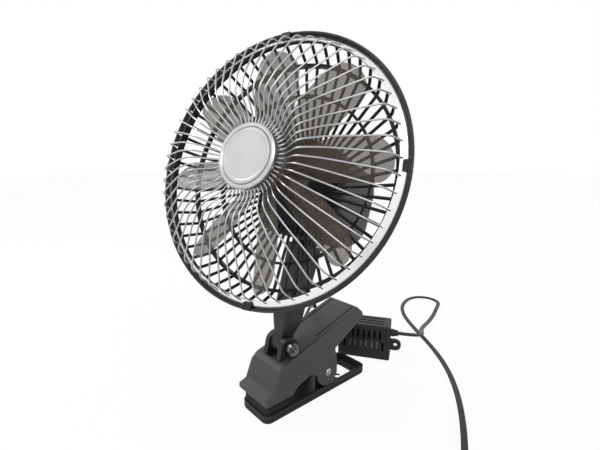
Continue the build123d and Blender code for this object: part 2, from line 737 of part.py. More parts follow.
HUB_LOW = DOME_HEIGHT - 2.4
HUB_HIGH = DOME_HEIGHT + 1.6
with BuildPart(HEAD) as front_guard:
    with BuildSketch(side_of(HEAD)):
        with BuildLine():
            Polyline(
                (HOOP_INSIDE, HOOP_HIGH),
                (HOOP_RADIUS, HOOP_LOW),
                (HOOP_RADIUS, HOOP_LOW + HOOP_THICK),
                (HOOP_INSIDE, HOOP_HIGH + HOOP_THICK),
                close=True,
            )
        make_face()
        with Locations(((18 + HUB_RING) / 2, (HUB_LOW + HUB_HIGH) / 2)):
            Rectangle(HUB_RING - 18, HUB_HIGH - HUB_LOW)
    revolve(axis=Axis(HEAD.origin, HEAD.z_dir))
    with PolarLocations(0, WIRES, start_angle=180 / WIRES):
        add(front_wire.part)
save("front_guard", front_guard)

# Centre cap with a dished face inside a raised rim
centre_cap = turned(
    HEAD,
    [
        (0, HUB_LOW),
        (17.8, HUB_LOW),
        (17.8, HUB_HIGH + 0.1),
        (CAP_RADIUS, HUB_HIGH + 0.1),
        (CAP_RADIUS, HUB_HIGH + 1.6),
        (CAP_RADIUS - 1, HUB_HIGH + 2.6),
        (CAP_RADIUS - 2.6, HUB_HIGH + 2.6),
        (CAP_RADIUS - 3.6, HUB_HIGH + 1.4),
        (0, HUB_HIGH + 0.8),
    ],
)
save("centre_cap", centre_cap)

# Blade wheel: cambered petals on a hollow hub
HUB_RADIUS = 19
HUB_FRONT = 17
HUB_BACK = -20
BLADE_Z = 2
CAMBER_RADIUS = 70
BLADE_THICK = 1.6
PETAL = Plane((0, 0, 0), x_dir=(1, 0, 0), z_dir=(0, -sin(radians(BLADE_PITCH)), cos(radians(BLADE_PITCH))))
with BuildPart() as blade:
    with BuildSketch(PETAL.offset(-15)):
        with BuildLine():
            Line((15, -8), (15, 8))
            ThreePointArc((15, 8), (52, 18.5), (83, 17.5))
            ThreePointArc((83, 17.5), (BLADE_TIP - 1.5, 1.5), (85, -15))
            ThreePointArc((85, -15), (52, -13.5), (15, -8))
        make_face()
    extrude(amount=30)
    camber_plane = Plane(PETAL.from_local_coords(Vector(0, 0, 2 - CAMBER_RADIUS)), x_dir=PETAL.y_dir, z_dir=(1, 0, 0))
    with BuildSketch(camber_plane):
        Circle(CAMBER_RADIUS + BLADE_THICK / 2)
        Circle(CAMBER_RADIUS - BLADE_THICK / 2, mode=Mode.SUBTRACT)
    extrude(amount=120, mode=Mode.INTERSECT)

with BuildPart(HEAD) as fan_blades:
    with BuildSketch(side_of(HEAD)):
        with BuildLine():
            Polyline(
                (SHAFT_RADIUS + 0.03, HUB_FRONT),
                (HUB_RADIUS - 4, HUB_FRONT),
                (HUB_RADIUS, HUB_FRONT - 4),
                (HUB_RADIUS, HUB_BACK),
                (HUB_RADIUS - 2.4, HUB_BACK),
                (HUB_RADIUS - 2.4, HUB_FRONT - 5),
                (8, HUB_FRONT - 5),
                (8, HUB_BACK + 4),
                (SHAFT_RADIUS + 0.03, HUB_BACK + 4),
                close=True,
            )
        make_face()
    revolve(axis=Axis(HEAD.origin, HEAD.z_dir))
    with Locations((0, 0, BLADE_Z)):
        with PolarLocations(0, BLADES, start_angle=BLADE_PHASE):
            add(blade.part)
    with BuildSketch(HEAD.offset(HUB_BACK)):
        Circle(HUB_RADIUS - 2.4)
        Circle(8, mode=Mode.SUBTRACT)
    extrude(amount=HUB_FRONT - HUB_BACK - 5, mode=Mode.SUBTRACT)
save("fan_blades", fan_blades)

SHAFT_FRONT = 22
motor_shaft = ring(HEAD, 0, SHAFT_RADIUS, CAN_BACK - 14, SHAFT_FRONT)
save("motor_shaft", motor_shaft)

spinner_nut = turned(
    HEAD,
    [
        (SHAFT_RADIUS + 0.03, HUB_FRONT + 0.1),
        (9, HUB_FRONT + 0.1),
        (9, HUB_FRONT + 5),
        (6, HUB_FRONT + 9),
        (0, HUB_FRONT + 10),
        (0, SHAFT_FRONT + 0.2),
        (SHAFT_RADIUS + 0.03, SHAFT_FRONT + 0.2),
    ],
)
save("spinner_nut", spinner_nut)

# Inline box: a slotted cover with a hanging eye, on a base
BOX_WALL = 2
EYE_X = BOX_WIDTH / 2 + 6
EYE_Z = 17
EYE_Y = -6
SWITCH_Z = 20
LEAD_OUT_Y = -7
LEAD_OUT_Z = 32
LEAD_IN_Z = 12
BOSS_AT = 24
SWITCH_TRAVEL = 4.8
BOX_FRONT = Plane(BOX.from_local_coords(Vector(0, -BOX_DEPTH / 2, 0)), x_dir=BOX.x_dir, z_dir=BOX.y_dir * -1)
BOX_REAR = Plane(BOX.from_local_coords(Vector(0, BOX_DEPTH / 2, 0)), x_dir=BOX.x_dir * -1, z_dir=BOX.y_dir)
with BuildPart() as box_cover:
    with BuildSketch(BOX.offset(BOX_SEAM)):
        RectangleRounded(BOX_WIDTH, BOX_DEPTH, 2.5)
    extrude(amount=BOX_HEIGHT - BOX_SEAM)
    fillet(box_cover.edges().group_by(Axis.Z)[-1], 2)
    with BuildSketch(BOX.offset(BOX_SEAM)):
        RectangleRounded(BOX_WIDTH - 2 * BOX_WALL, BOX_DEPTH - 2 * BOX_WALL, 1.5)
    extrude(amount=BOX_HEIGHT - BOX_SEAM - BOX_WALL, mode=Mode.SUBTRACT)
    with BuildSketch(BOX.offset(BOX_HEIGHT)):
        with GridLocations(0, 7, 1, 3):
            SlotOverall(46, 2.6)
    extrude(amount=-BOX_WALL, mode=Mode.SUBTRACT)
    with BuildSketch(BOX_FRONT):
        with Locations((0, 30)):
            with GridLocations(6.4, 0, 7, 1):
                SlotOverall(11, 2.4, rotation=90)
        with Locations((0, 16)):
            with GridLocations(6.4, 0, 8, 1):
                SlotOverall(11, 2.4, rotation=90)
    extrude(amount=-BOX_WALL, mode=Mode.SUBTRACT)
    with BuildSketch(BOX_REAR):
        with Locations((0, SWITCH_Z)):
            Rectangle(10, 4.2)
    extrude(amount=-BOX_WALL, mode=Mode.SUBTRACT)
    with BuildSketch(BOX_FRONT.offset(2 - EYE_Y - BOX_DEPTH / 2)):
        with Locations((EYE_X, EYE_Z)):
            Circle(6.5)
        with Locations((EYE_X - 4, EYE_Z)):
            Rectangle(7, 13)
        with Locations((EYE_X, EYE_Z)):
            Circle(EYE_HOLE, mode=Mode.SUBTRACT)
    extrude(amount=-4)
    with BuildSketch(BOX.offset(BOX_SEAM)):
        with Locations((-BOSS_AT, 0), (BOSS_AT, 0)):
            Circle(3)
            Circle(1.3, mode=Mode.SUBTRACT)
    extrude(amount=BOX_HEIGHT - BOX_SEAM - 1)
save("box_cover", box_cover)

with BuildPart() as box_base:
    with BuildSketch(BOX):
        RectangleRounded(BOX_WIDTH, BOX_DEPTH, 2.5)
    extrude(amount=BOX_SEAM - 0.1)
    with BuildSketch(BOX):
        with Locations((-BOSS_AT, 0), (BOSS_AT, 0)):
            Circle(1.6)
    extrude(amount=BOX_SEAM, mode=Mode.SUBTRACT)
    with BuildSketch(BOX):
        with Locations((-BOSS_AT, 0), (BOSS_AT, 0)):
            Circle(3.2)
    extrude(amount=2.4, mode=Mode.SUBTRACT)
save("box_base", box_base)

for side, across in (("left", -BOSS_AT), ("right", BOSS_AT)):
    place = shifted(BOX, across, 0, 2.4)
    box_screw = screw(Plane(place.origin, x_dir=place.x_dir, z_dir=(0, 0, -1)), 1.25, 2.8, 12, 1.8)
    save(f"box_screw_{side}", box_screw)

with BuildPart() as resistor:
    with BuildSketch(BOX.offset(BOX_SEAM)):
        with Locations((0, -5)):
            Rectangle(36, 10)
    extrude(amount=9)
save("resistor", resistor)

# Slide switch in the box's back wall
with BuildPart() as switch_body:
    with BuildSketch(BOX_REAR.offset(-BOX_WALL - 0.1)):
        with Locations((0, SWITCH_Z)):
            Rectangle(18, 9)
    extrude(amount=-6)
save("switch_body", switch_body)
with BuildPart() as switch_slider:
    with BuildSketch(BOX_REAR.offset(0.2 - BOX_WALL)):
        with Locations((-SWITCH_TRAVEL / 2, SWITCH_Z)):
            Rectangle(5, 3.6)
    extrude(amount=BOX_WALL + 1.6)
save("switch_slider", switch_slider)

# Glands at the two ends of the box
BOX_GLAND = 9
LEAD_OUT = Plane(
    BOX.from_local_coords(Vector(BOX_WIDTH / 2 + 0.1, LEAD_OUT_Y, LEAD_OUT_Z)),
    x_dir=(0, 0, 1),
    z_dir=BOX.x_dir,
)
LEAD_IN = Plane(
    BOX.from_local_coords(Vector(-BOX_WIDTH / 2 - 0.1, 0, LEAD_IN_Z)),
    x_dir=(0, 0, 1),
    z_dir=BOX.x_dir * -1,
)
box_gland_out = turned(LEAD_OUT, [(0, 0), (4.4, 0), (4.4, 2), (2.9, BOX_GLAND), (0, BOX_GLAND)])
save("box_gland_out", box_gland_out)
box_gland_in = turned(LEAD_IN, [(0, 0), (4, 0), (4, 2), (2.4, BOX_GLAND), (0, BOX_GLAND)])
save("box_gland_in", box_gland_in)

# Head lead: over the handle's edge, down to the floor and round into the box
head_lead_start = GLAND.offset(GLAND_LENGTH)
head_lead_end = LEAD_IN.offset(BOX_GLAND)
head_lead_points = [
    tuple(head_lead_start.origin),
    tuple(head_lead_start.offset(11).origin),
    (-14, 20, 79),
    (-26, 27, 74),
    (-37, 32, 61),
    (-48, 35, 46),
    (-59, 36, 30),
    (-70, 36.5, 15),
    (-78.7, 39, 7.5),
    (-83.5, 46.3, 4.5),
    (-81.9, 55, 3.2),
    (-75.2, 61.7, 3.2),
    (-66.5, 67.2, 6.5),
    tuple(head_lead_end.offset(12).origin),
    tuple(head_lead_end.origin),
]
head_lead = lead("head_lead", head_lead_points, HEAD_LEAD_RADIUS)
save("head_lead", head_lead)


# Plug lead's coil: in on the lower layer, up in half a turn, out on the upper
COIL_SWEEP = COIL_START - COIL_END + 360 * COIL_EXTRA_TURNS
COIL_IN = (COIL_SWEEP - 180) / 2
COIL_CLIMB = COIL_IN + 180


def eased(value):
    """A smooth step from 0 to 1."""
    held = min(1, max(0, value))
    return held * held * (3 - 2 * held)


def coil_line(turned_by):
    """The coil's centre line, clockwise from where the lead comes in."""
    angle = radians(COIL_START - turned_by)
    inward = min(turned_by, COIL_IN) - max(0, turned_by - COIL_CLIMB)
    radius = COIL_RADIUS - COIL_STEP * inward / 360
    climb = COIL_STEP * eased((turned_by - COIL_IN) / 180)
    to_plug = (PLUG_AXIS - COIL_REST - COIL_STEP) * eased((turned_by - COIL_SWEEP + 180) / 180)
    return Vector(
        COIL_AT[0] + radius * cos(angle),
        COIL_AT[1] + radius * sin(angle),
        COIL_REST + climb + to_plug,
    )


coil_steps = ceil(COIL_SWEEP / 90)
coil_stops = [COIL_SWEEP * i / coil_steps for i in range(coil_steps + 1)]
coil_points = [coil_line(stop) for stop in coil_stops]
coil_slopes = slopes(coil_line, coil_stops)
COIL_TAIL = 2 * PLUG_LEAD_RADIUS
with BuildPart() as plug_coil:
    with BuildLine() as coil_route:
        Line(coil_points[0] - coil_slopes[0] * COIL_TAIL, coil_points[0])
        biarcs(coil_points, coil_slopes)
        Line(coil_points[-1], coil_points[-1] + coil_slopes[-1] * COIL_TAIL)
    with BuildSketch(Plane(coil_route.wire() @ 0, z_dir=coil_route.wire() % 0)):
        Circle(PLUG_LEAD_RADIUS)
    sweep()
coil_samples = [tuple(coil_line(COIL_SWEEP * i / 1000)) for i in range(1001)]
print("plug coil length", round(coil_route.wire().length, 1))
print("plug coil gap to itself", round(least_gap(coil_samples, PLUG_LEAD_RADIUS, 120), 2))
save("plug_coil", plug_coil)

# Plug lead: out of the box, round a loop that passes under itself, to the coil
plug_lead_end = coil_points[0] - coil_slopes[0] * COIL_TAIL
plug_lead_points = [
    tuple(LEAD_OUT.offset(BOX_GLAND).origin),
    tuple(LEAD_OUT.offset(BOX_GLAND + 14).origin),
    (43, 139.5, 28.8),
    (35, 157.5, 23),
    (21, 178, 15.5),
    (10, 205, 9.5),
    (1, 234, 4.5),
    (-9, 264, LEAD_REST),
    (-20, 292, LEAD_REST),
    (-28, 313, LEAD_REST),
    (-45.5, 320.5, LEAD_REST),
    (-63, 313.5, LEAD_REST),
    (-70.5, 296, LEAD_REST),
    (-67, 274, LEAD_REST),
    (-56, 249, LEAD_REST),
    (-33, 223, LEAD_REST),
    (2, 197, LEAD_REST),
    (40, 172, LEAD_REST),
    (76, 142, LEAD_REST),
    (107, 106, LEAD_REST),
    (133, 66, LEAD_REST),
    (155, 24, LEAD_REST),
    tuple(plug_lead_end - coil_slopes[0] * 24),
    tuple(plug_lead_end),
]
plug_lead = lead("plug_lead", plug_lead_points, PLUG_LEAD_RADIUS)
save("plug_lead", plug_lead)

# Tie round the coil's turns
TIE_AT = radians(100)
TIE_GAP = 0.4
TIE_THICK = 0.8
TIE_OUT = Vector(cos(TIE_AT), sin(TIE_AT), 0)
TIE_MIDDLE = COIL_RADIUS - COIL_STEP * COIL_IN / 720
TIE_WIDE = COIL_STEP * COIL_IN / 360 + 2 * (PLUG_LEAD_RADIUS + TIE_GAP)
TIE_TALL = COIL_STEP + 2 * (PLUG_LEAD_RADIUS + TIE_GAP)
tie_centre = Vector(COIL_AT[0], COIL_AT[1], COIL_REST + COIL_STEP / 2) + TIE_OUT * TIE_MIDDLE
with BuildPart() as coil_tie:
    with BuildSketch(Plane(tie_centre, x_dir=TIE_OUT, z_dir=TIE_OUT.cross(Vector(0, 0, 1)))):
        RectangleRounded(TIE_WIDE + 2 * TIE_THICK, TIE_TALL + 2 * TIE_THICK, 2)
        RectangleRounded(TIE_WIDE, TIE_TALL, 1.2, mode=Mode.SUBTRACT)
    extrude(amount=2.5, both=True)
save("coil_tie", coil_tie)

# Plug for a 12 volt socket, lying beside the coil
PLUG_OUT = Vector(coil_slopes[-1].X, coil_slopes[-1].Y, 0).normalized()
PLUG = Plane(
    coil_points[-1] + coil_slopes[-1] * COIL_TAIL,
    x_dir=PLUG_OUT.cross(Vector(0, 0, 1)),
    z_dir=PLUG_OUT,
)
BOOT = 24
GRIP_END = 48
BODY_END = 76
NOSE_END = 87
TIP_RADIUS = 3
plug_boot = turned(PLUG, [(0, 0), (3.2, 0), (6.4, BOOT - 4), (6.4, BOOT), (0, BOOT)])
save("plug_boot", plug_boot)
plug_body = turned(
    PLUG,
    [
        (0, BOOT + 0.1),
        (7.5, BOOT + 0.1),
        (10.4, BOOT + 5),
        (10.4, GRIP_END),
        (9.6, GRIP_END + 2),
        (9.6, BODY_END),
        (TIP_RADIUS + 0.2, BODY_END),
        (TIP_RADIUS + 0.2, BODY_END - 20),
        (0, BODY_END - 20),
    ],
)
save("plug_body", plug_body)
plug_nose = turned(
    PLUG,
    [
        (TIP_RADIUS + 0.2, BODY_END + 0.1),
        (8.4, BODY_END + 0.1),
        (8.4, NOSE_END - 3),
        (6, NOSE_END),
        (TIP_RADIUS + 0.2, NOSE_END),
    ],
)
save("plug_nose", plug_nose)
plug_tip = turned(
    PLUG,
    [
        (0, BODY_END - 14),
        (TIP_RADIUS, BODY_END - 14),
        (TIP_RADIUS, NOSE_END + 3.5),
        (TIP_RADIUS - 1.4, NOSE_END + 5),
        (0, NOSE_END + 5),
    ],
)
save("plug_tip", plug_tip)
for side, across in (("left", -1), ("right", 1)):
    with BuildPart() as plug_contact:
        with BuildSketch(Plane(PLUG.origin, x_dir=PLUG.z_dir, z_dir=PLUG.y_dir)):
            with BuildLine():
                Line((GRIP_END + 6, 9.7 * across), (BODY_END - 6, 9.7 * across))
                ThreePointArc(
                    (BODY_END - 6, 9.7 * across),
                    ((GRIP_END + BODY_END) / 2, 11.4 * across),
                    (GRIP_END + 6, 9.7 * across),
                )
            make_face()
        extrude(amount=2.2, both=True)
    save(f"plug_contact_{side}", plug_contact)
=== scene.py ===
# %% [markdown]
# # A clip-on oscillating fan
# The fan stands on its spring clamp. A bright wire guard, smoke-grey blades and a black motor sit on a
# tilting neck, and a vented box lies behind on the lead. The solid model is loaded as a fixed frame, so
# every new piece is placed in its coordinates, in metres.

# %% Load the frame
import bpy
import json
from math import cos, pi, radians, sin
from mathutils import Matrix, Vector


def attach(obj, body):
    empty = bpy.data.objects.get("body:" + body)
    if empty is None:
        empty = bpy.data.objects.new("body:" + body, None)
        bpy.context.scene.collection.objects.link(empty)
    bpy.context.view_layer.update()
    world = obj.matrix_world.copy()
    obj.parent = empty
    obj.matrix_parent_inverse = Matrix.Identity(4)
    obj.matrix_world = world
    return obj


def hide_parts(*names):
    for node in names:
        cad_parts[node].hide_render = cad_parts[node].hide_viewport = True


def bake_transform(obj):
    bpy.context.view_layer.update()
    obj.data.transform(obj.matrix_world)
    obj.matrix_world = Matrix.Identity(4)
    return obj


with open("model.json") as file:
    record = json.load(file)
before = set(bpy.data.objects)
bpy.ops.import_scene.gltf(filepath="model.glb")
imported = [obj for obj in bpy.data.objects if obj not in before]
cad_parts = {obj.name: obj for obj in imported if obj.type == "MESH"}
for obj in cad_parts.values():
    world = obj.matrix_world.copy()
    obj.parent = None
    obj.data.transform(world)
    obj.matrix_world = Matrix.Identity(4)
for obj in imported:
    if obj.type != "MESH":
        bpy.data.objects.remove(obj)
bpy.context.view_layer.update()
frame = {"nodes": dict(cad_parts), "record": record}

nodes = frame["nodes"]
print("loaded", len(nodes), "nodes")

# %% [markdown]
# The photograph is a close wide-angle view from the front right, from about the height of the guard's
# middle and looking down a little. The camera's place and lens come from fitting the guard's circle and its
# wires, because a circle seen at a slant shows both the angle and the distance.

# %% Camera
CAMERA_AT = (0.2651, -0.2413, 0.2342)
CAMERA_TURN = 49.0
CAMERA_DOWN = 10.0
LENS = 22.74
bpy.ops.object.select_all(action="DESELECT")
bpy.ops.object.camera_add(location=CAMERA_AT, rotation=(radians(90 - CAMERA_DOWN), 0, radians(CAMERA_TURN)))
camera = bpy.context.object
camera.data.lens = LENS
camera.data.sensor_width = 36
scene = bpy.context.scene
scene.camera = camera
scene.view_settings.view_transform = "Standard"
print("camera", camera.name)

# %% [markdown]
# Both leads are drawn first, because their length and lay decide how far the model spreads. A lead could be
# a chain of straight tubes and arcs, but that looks like bent wire. So it is a smooth curve led by a few
# control points: out of its gland, down, along the floor, and for the unseen length into a coil by the plug.

# %% Routes of the leads
MM = 0.001
BOX_AT = Vector((-9.9, 102.9, 0))
BOX_TURN = radians(32.6)
BOX_ALONG = Vector((cos(BOX_TURN), sin(BOX_TURN), 0))
BOX_BACK = Vector((-sin(BOX_TURN), cos(BOX_TURN), 0))
BOX_REACH = 39.6
LEAD_OUT_AHEAD = 7
LEAD_OUT_HIGH = 32
LEAD_IN_HIGH = 12
LEAD_OUT = BOX_AT + BOX_ALONG * BOX_REACH - BOX_BACK * LEAD_OUT_AHEAD + Vector((0, 0, LEAD_OUT_HIGH))
LEAD_IN = BOX_AT - BOX_ALONG * BOX_REACH + Vector((0, 0, LEAD_IN_HIGH))
FLOOR_LAY = 2.9
IN_RUN = 12
OUT_RUN = 14

NECK_LEAN = radians(18.3)
NECK_UP = Vector((0, sin(NECK_LEAN), cos(NECK_LEAN)))
NECK_BACK = Vector((0, cos(NECK_LEAN), -sin(NECK_LEAN)))
KNUCKLE = Vector((0, -34.5, 61))
GLAND_DOWN = radians(37)
GLAND_OUT = NECK_BACK * cos(GLAND_DOWN) - NECK_UP * sin(GLAND_DOWN)
GLAND_BACK = 8
GLAND_HIGH = 58
GLAND_LENGTH = 24
GLAND_RUN = 11
GLAND_END = KNUCKLE + NECK_BACK * GLAND_BACK + NECK_UP * GLAND_HIGH + GLAND_OUT * GLAND_LENGTH

head_route = [
    GLAND_END,
    GLAND_END + GLAND_OUT * GLAND_RUN,
    (-14, 20, 79),
    (-26, 27, 74),
    (-37, 32, 61),
    (-48, 35, 46),
    (-59, 36, 30),
    (-70, 36.5, 15),
    (-78.7, 39, 7.5),
    (-83.5, 46.3, 4.5),
    (-81.9, 55, 3.2),
    (-75.2, 61.7, 3.2),
    (-66.5, 67.2, 6.5),
    LEAD_IN - BOX_ALONG * IN_RUN,
    LEAD_IN,
]
print("head lead has", len(head_route), "points")

# %% [markdown]
# The unseen length winds inwards on the floor, climbs one layer, and winds out again to the plug.

# %% Coil of the plug lead
COIL_AT = (147, -58)
COIL_RADIUS = 36.4
COIL_STEP = 6.4
COIL_REST = 3.7
COIL_START = 16
COIL_TURNS = 4
COIL_REST_TURN = 57
COIL_SWEEP = COIL_REST_TURN + 360 * COIL_TURNS
COIL_IN = (COIL_SWEEP - 180) / 2
PLUG_AXIS = 10.7
LEAD_TAIL = 4.6
COIL_RUN = 24


def eased(value):
    """A smooth step from 0 to 1."""
    held = min(1, max(0, value))
    return held * held * (3 - 2 * held)


def coil_point(turned):
    """A point of the coil, clockwise from where the lead comes in."""
    angle = radians(COIL_START - turned)
    inward = min(turned, COIL_IN) - max(0, turned - COIL_IN - 180)
    radius = COIL_RADIUS - COIL_STEP * inward / 360
    climb = COIL_STEP * eased((turned - COIL_IN) / 180)
    to_plug = (PLUG_AXIS - COIL_REST - COIL_STEP) * eased((turned - COIL_SWEEP + 180) / 180)
    across = COIL_AT[0] + radius * cos(angle)
    ahead = COIL_AT[1] + radius * sin(angle)
    return Vector((across, ahead, COIL_REST + climb + to_plug))


def coil_slope(turned):
    """The coil's direction at a point."""
    return (coil_point(turned + 0.01) - coil_point(turned - 0.01)).normalized()


COIL_POINTS = 64
coil = [coil_point(COIL_SWEEP * i / COIL_POINTS) for i in range(COIL_POINTS + 1)]
COIL_IN_POINT = coil[0] - coil_slope(0) * LEAD_TAIL
PLUG_POINT = coil[-1] + coil_slope(COIL_SWEEP) * LEAD_TAIL
plug_route = [
    LEAD_OUT,
    LEAD_OUT + BOX_ALONG * OUT_RUN,
    (43, 139.5, 28.8),
    (35, 157.5, 23),
    (21, 178, 15.5),
    (10, 205, 9.5),
    (1, 234, 4.5),
    (-9, 264, FLOOR_LAY),
    (-20, 292, FLOOR_LAY),
    (-28, 313, FLOOR_LAY),
    (-45.5, 320.5, FLOOR_LAY),
    (-63, 313.5, FLOOR_LAY),
    (-70.5, 296, FLOOR_LAY),
    (-67, 274, FLOOR_LAY),
    (-56, 249, FLOOR_LAY),
    (-33, 223, FLOOR_LAY),
    (2, 197, FLOOR_LAY),
    (40, 172, FLOOR_LAY),
    (76, 142, FLOOR_LAY),
    (107, 106, FLOOR_LAY),
    (133, 66, FLOOR_LAY),
    (155, 24, FLOOR_LAY),
    COIL_IN_POINT - coil_slope(0) * COIL_RUN,
    COIL_IN_POINT,
] + coil + [PLUG_POINT]
print("plug lead has", len(plug_route), "points")

# %% [markdown]
# The thin lead from the neck is round. The plug lead is a flat two-core flex, so its curve carries a
# profile of two round cores side by side. Both curves become meshes, so that they export as they look.


# %% Sweep a lead
def lead_curve(name, route):
    """A smooth open curve with the route's points as its control points."""
    data = bpy.data.curves.new(name, "CURVE")
    data.dimensions = "3D"
    data.resolution_u = 6
    spline = data.splines.new("NURBS")
    spline.points.add(len(route) - 1)
    for point, place in zip(spline.points, route):
        point.co = (*(Vector(place) * MM), 1)
    spline.order_u = 3
    spline.use_endpoint_u = True
    curve = bpy.data.objects.new(name, data)
    scene.collection.objects.link(curve)
    return curve


def as_mesh(curve):
    """The curve's mesh, as it is drawn now."""
    bpy.context.view_layer.update()
    return bpy.data.meshes.new_from_object(curve.evaluated_get(bpy.context.evaluated_depsgraph_get()))


def swept_lead(name, route, profile=None, radius=0.0):
    """A lead's mesh object, and the points that it follows."""
    curve = lead_curve(name + "_line", route)
    path = [tuple(v.co) for v in as_mesh(curve).vertices]
    curve.data.use_fill_caps = True
    curve.data.twist_mode = "Z_UP"
    if profile:
        curve.data.bevel_mode = "OBJECT"
        curve.data.bevel_object = profile
    else:
        curve.data.bevel_depth = radius
        curve.data.bevel_resolution = 4
    piece = bpy.data.objects.new(name, as_mesh(curve))
    scene.collection.objects.link(piece)
    for polygon in piece.data.polygons:
        polygon.use_smooth = True
    bpy.data.objects.remove(curve)
    return piece, path


def path_length(path):
    """The length of a line of points."""
    return sum((Vector(b) - Vector(a)).length for a, b in zip(path, path[1:]))


print("leads can be swept")

# %% [markdown]
# The head lead hangs between the neck, which tilts, and the box, which lies still.

# %% Head lead
HEAD_LEAD_RADIUS = 0.0016
head_cord, head_path = swept_lead("head_cord", head_route, radius=HEAD_LEAD_RADIUS)
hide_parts("head_lead")
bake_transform(head_cord)
print("head lead", round(path_length(head_path), 3), "m")

# %% [markdown]
# The flat flex's profile is two arcs of a circle that meet in a shallow groove on each side.

# %% Plug lead
CORE_RADIUS = 1.4
ARC_START = -130
ARC_STEP = 20
ARC_POINTS = 14
profile_data = bpy.data.curves.new("flex_profile", "CURVE")
profile_data.dimensions = "2D"
outline = profile_data.splines.new("POLY")
core_arcs = [(CORE_RADIUS, ARC_START + ARC_STEP * i) for i in range(ARC_POINTS)]
core_arcs += [(-CORE_RADIUS, ARC_START + 180 + ARC_STEP * i) for i in range(ARC_POINTS)]
outline.points.add(len(core_arcs) - 1)
for point, (middle, angle) in zip(outline.points, core_arcs):
    across = (middle + CORE_RADIUS * cos(radians(angle))) * MM
    along = CORE_RADIUS * sin(radians(angle)) * MM
    point.co = (across, along, 0, 1)
outline.use_cyclic_u = True
profile = bpy.data.objects.new("flex_profile", profile_data)
scene.collection.objects.link(profile)
plug_cord, plug_path = swept_lead("plug_cord", plug_route, profile=profile)
bpy.data.objects.remove(profile)
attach(plug_cord, "clamp_top")
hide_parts("plug_lead", "plug_coil")
print("plug lead", round(path_length(plug_path), 3), "m")

# %% [markdown]
# The small moulded details come next: ribs that stop a strain relief from kinking, ridges that a finger
# grips, and a bead round the foot. Each starts as a ring, a cube, a plane or a circle, is shaped in edit
# mode, and is then set on the line or plane that its part has in the solid model. What repeats is shaped
# once, and each copy gets a mesh of its own.


# %% Helpers for small pieces
def frame_of(place, ahead, across):
    """A turn and place whose z runs ahead and whose x lies near across, from millimetres."""
    z = Vector(ahead).normalized()
    y = z.cross(Vector(across)).normalized()
    turn = Matrix((y.cross(z), y, z)).transposed().to_4x4()
    return Matrix.Translation(Vector(place) * MM) @ turn


def settle(piece, name, spot=None):
    """Put a new piece in its frame, and leave its place in its mesh."""
    bpy.ops.object.select_all(action="DESELECT")
    piece.select_set(True)
    bpy.context.view_layer.objects.active = piece
    if spot:
        piece.matrix_world = spot @ piece.matrix_world
    bpy.ops.object.transform_apply(location=True, rotation=True, scale=True)
    piece.name = name
    piece.data.name = name
    return piece


def copies(piece, count):
    """The piece and copies of it, each with its own mesh."""
    row = [piece]
    for step in range(1, count):
        copy = piece.copy()
        copy.data = piece.data.copy()
        scene.collection.objects.link(copy)
        row.append(copy)
    return row


def joined(pieces, name):
    """Several pieces made into one."""
    bpy.ops.object.select_all(action="DESELECT")
    for piece in pieces:
        piece.select_set(True)
    bpy.context.view_layer.objects.active = pieces[0]
    bpy.ops.object.join()
    piece = bpy.context.object
    piece.name = name
    piece.data.name = name
    bpy.ops.object.shade_smooth_by_angle(angle=radians(40))
    return piece


def rib(spot, along, radius, thick, flat):
    """A flattened ring that stands round a frame's z."""
    bpy.ops.object.select_all(action="DESELECT")
    bpy.ops.mesh.primitive_torus_add(
        major_segments=40, minor_segments=10, major_radius=radius * MM, minor_radius=thick * MM,
        location=(0, 0, along * MM))
    bpy.ops.object.mode_set(mode="EDIT")
    bpy.ops.mesh.select_all(action="SELECT")
    bpy.ops.transform.resize(value=(1, 1, flat), center_override=(0, 0, along * MM))
    bpy.ops.object.mode_set(mode="OBJECT")
    return settle(bpy.context.object, "rib", spot)


print("helpers ready")

# %% [markdown]
# The lead leaves the neck and the box through tapered strain reliefs. Rings round the taper let it bend
# evenly, so each relief gets a row of ribs that shrink with it. They could be cut into the taper, but a
# flattened ring sunk halfway into it gives the same rounded edge, and its size is easy to change.

# %% Strain relief ribs
NECK_RIBS = 5
NECK_RIB_START = 10
NECK_RIB_STEP = 2.8
GLAND_RADIUS = 4.6
GLAND_TAPER = 2.2
NECK_RIB_THICK = 0.55
NECK_RIB_FLAT = 1.3
neck_relief = frame_of(GLAND_END - GLAND_OUT * GLAND_LENGTH, GLAND_OUT, (1, 0, 0))
neck_ribs = []
for step in range(NECK_RIBS):
    along = NECK_RIB_START + step * NECK_RIB_STEP
    radius = GLAND_RADIUS - GLAND_TAPER * along / GLAND_LENGTH
    neck_ribs.append(rib(neck_relief, along, radius, NECK_RIB_THICK, NECK_RIB_FLAT))
relief_ribs = joined(neck_ribs, "relief_ribs")
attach(relief_ribs, "neck")

BOX_GLAND = 9
BOX_RIB_SIZES = ((3.4, 4.0), (5.4, 3.6), (7.4, 3.2))
BOX_RIB_THICK = 0.42
BOX_RIB_FLAT = 1.2
box_ribs = []
for end, out in ((LEAD_OUT, BOX_ALONG), (LEAD_IN, -BOX_ALONG)):
    relief = frame_of(end - out * BOX_GLAND, out, (0, 0, 1))
    for along, radius in BOX_RIB_SIZES:
        box_ribs.append(rib(relief, along, radius, BOX_RIB_THICK, BOX_RIB_FLAT))
box_relief_ribs = joined(box_ribs, "box_relief_ribs")
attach(box_relief_ribs, "clamp_top")
print("relief ribs", len(neck_ribs) + len(box_ribs))

# %% [markdown]
# The plug is pulled out by its body, so a row of finger ridges runs round the thick part. One ring is shaped
# and its copies go along the plug. The plug, its ridges and the tie belong to the lead's far end.

